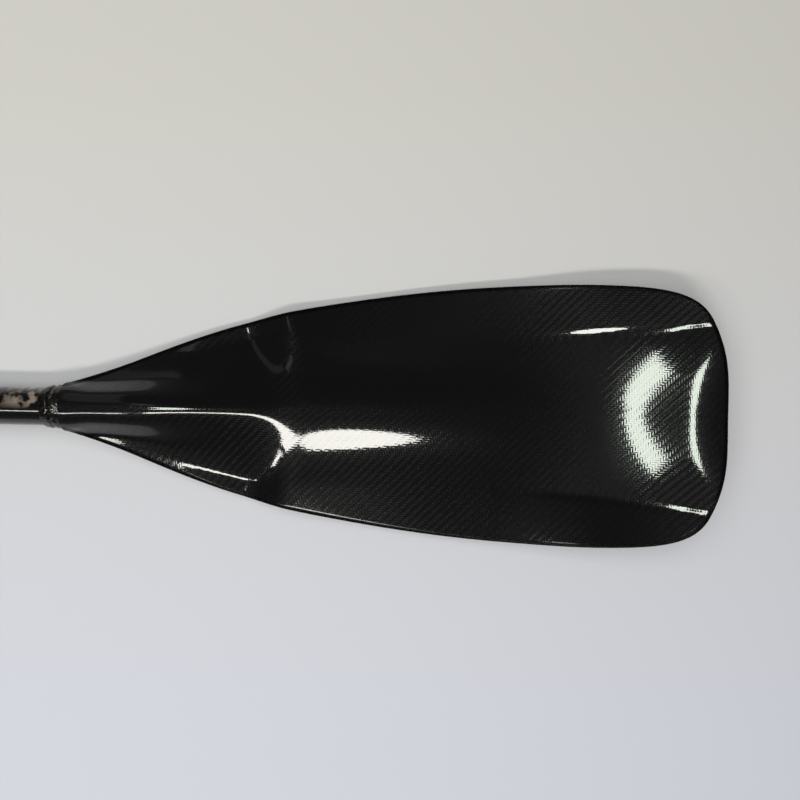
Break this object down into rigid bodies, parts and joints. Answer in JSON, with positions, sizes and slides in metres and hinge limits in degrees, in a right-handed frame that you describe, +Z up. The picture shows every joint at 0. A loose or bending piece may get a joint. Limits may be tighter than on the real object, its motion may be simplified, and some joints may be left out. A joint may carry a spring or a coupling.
{
  "type": "sea walking paddle",
  "caption": "Adjustable sea-walking paddle: scooped composite blade with a central spine, telescoping shaft with a cam-lever clamp, and a T grip.",
  "frame": {"origin": "on the surface the paddle lies on, below the middle of its length and width", "axes": "+X along the shaft from the grip to the blade's tip, +Z up out of the blade's power face, +Y across the blade"},
  "size_m": [1.249, 0.1956, 0.0455],
  "materials": {
    "carbon_twill": "clear-coated carbon fibre twill, high gloss",
    "epoxy_resin": "clear epoxy bead, glossy and uneven",
    "foam": "closed-cell foam, matt",
    "black_nylon": "moulded glass-filled nylon, satin",
    "acetal": "machined acetal, satin",
    "stainless_steel": "turned stainless steel",
    "anodised_aluminium": "black anodised aluminium",
    "rubber": "moulded rubber, matt",
    "grip_plastic": "moulded plastic with a fine texture"
  },
  "bodies": {
    "paddle": {"blade_front_skin": "carbon_twill", "blade_back_skin": "carbon_twill", "blade_foam_core": "foam", "neck_resin_collar": "epoxy_resin", "lower_shaft": "carbon_twill", "lower_shaft_plug": "foam", "clamp_collar": "black_nylon", "alignment_key": "acetal", "tension_bolt": "stainless_steel", "bolt_washer": "stainless_steel", "cam_saddle": "acetal", "lever_pin": "stainless_steel", "mouth_seal": "rubber"},
    "lever": {"clamp_lever": "anodised_aluminium"},
    "handle": {"upper_shaft": "carbon_twill", "upper_shaft_end_cap": "black_nylon", "grip_stem": "black_nylon", "grip_front_shell": "grip_plastic", "grip_back_shell": "grip_plastic", "grip_screw_left": "stainless_steel", "grip_screw_right": "stainless_steel"}
  },
  "joints": [
    {"name": "length_slide", "type": "slide", "parent": "paddle", "child": "handle", "axis": [-1, 0, 0], "range_m": [-0.11, 0.09]},
    {"name": "clamp_lever_hinge", "type": "hinge", "parent": "paddle", "child": "lever", "pos_m": [-0.283, 0.0152, 0.0395], "axis": [1, 0, 0], "range_deg": [0, 115]}
  ]
}
